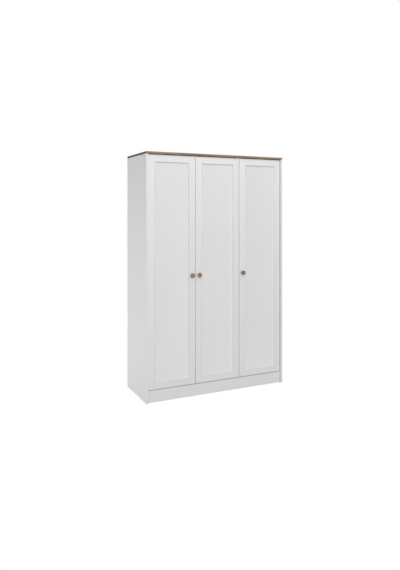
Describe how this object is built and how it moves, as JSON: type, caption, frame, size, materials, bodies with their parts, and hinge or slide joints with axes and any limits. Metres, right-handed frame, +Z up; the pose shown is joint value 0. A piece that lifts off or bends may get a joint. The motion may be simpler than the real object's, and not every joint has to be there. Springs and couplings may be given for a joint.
{
  "type": "wardrobe",
  "caption": "Tall white wardrobe with three framed hinged doors, round knobs, a walnut top, a plinth, a hanging rail compartment and a narrow shelved compartment.",
  "frame": {"origin": "on the floor, at the centre of the outline, knobs included", "axes": "+Z up, the doors face -Y, +X to the right seen from the front"},
  "size_m": [1.35, 0.512, 2.1],
  "materials": {
    "white_foil": "satin white foil on particle board and MDF",
    "walnut": "satin walnut",
    "knob": "satin walnut",
    "steel": "nickel-plated steel",
    "chrome": "polished chrome",
    "hardboard": "white-printed hardboard",
    "plastic": "matt white plastic"
  },
  "bodies": {
    "carcass": {"back_sheet_left": "hardboard", "back_sheet_middle": "hardboard", "back_sheet_right": "hardboard", "back_strip_left": "plastic", "back_strip_right": "plastic", "bottom_panel": "white_foil", "hanging_rail": "chrome", "hat_shelf": "white_foil", "hinge_arm_left_1": "steel", "hinge_arm_left_2": "steel", "hinge_arm_left_3": "steel", "hinge_arm_left_4": "steel", "hinge_arm_middle_1": "steel", "hinge_arm_middle_2": "steel", "hinge_arm_middle_3": "steel", "hinge_arm_middle_4": "steel", "hinge_arm_right_1": "steel", "hinge_arm_right_2": "steel", "hinge_arm_right_3": "steel", "hinge_arm_right_4": "steel", "partition_panel": "white_foil", "plinth_brace": "white_foil", "plinth_front": "white_foil", "plinth_rear": "white_foil", "rail_socket_left": "chrome", "rail_socket_right": "chrome", "shelf_1": "white_foil", "shelf_2": "white_foil", "shelf_3": "white_foil", "shelf_4": "white_foil", "side_panel_left": "white_foil", "side_panel_right": "white_foil", "top_board": "walnut", "wall_bracket_left": "steel", "wall_bracket_right": "steel"},
    "door_left": {"door_left": "white_foil", "hinge_cup_left_1": "steel", "hinge_cup_left_2": "steel", "hinge_cup_left_3": "steel", "hinge_cup_left_4": "steel", "knob_left": "knob", "knob_screw_left": "steel"},
    "door_middle": {"door_middle": "white_foil", "hinge_cup_middle_1": "steel", "hinge_cup_middle_2": "steel", "hinge_cup_middle_3": "steel", "hinge_cup_middle_4": "steel", "knob_middle": "knob", "knob_screw_middle": "steel"},
    "door_right": {"door_right": "white_foil", "hinge_cup_right_1": "steel", "hinge_cup_right_2": "steel", "hinge_cup_right_3": "steel", "hinge_cup_right_4": "steel", "knob_right": "knob", "knob_screw_right": "steel"}
  },
  "joints": [
    {"name": "door_left_hinge", "type": "hinge", "parent": "carcass", "child": "door_left", "pos_m": [-0.65, -0.231, 0.106], "axis": [0, 0, -1], "range_deg": [0, 95]},
    {"name": "door_middle_hinge", "type": "hinge", "parent": "carcass", "child": "door_middle", "pos_m": [0.21333, -0.231, 0.106], "axis": [0, 0, 1], "range_deg": [0, 95]},
    {"name": "door_right_hinge", "type": "hinge", "parent": "carcass", "child": "door_right", "pos_m": [0.65, -0.231, 0.106], "axis": [0, 0, 1], "range_deg": [0, 95]}
  ]
}
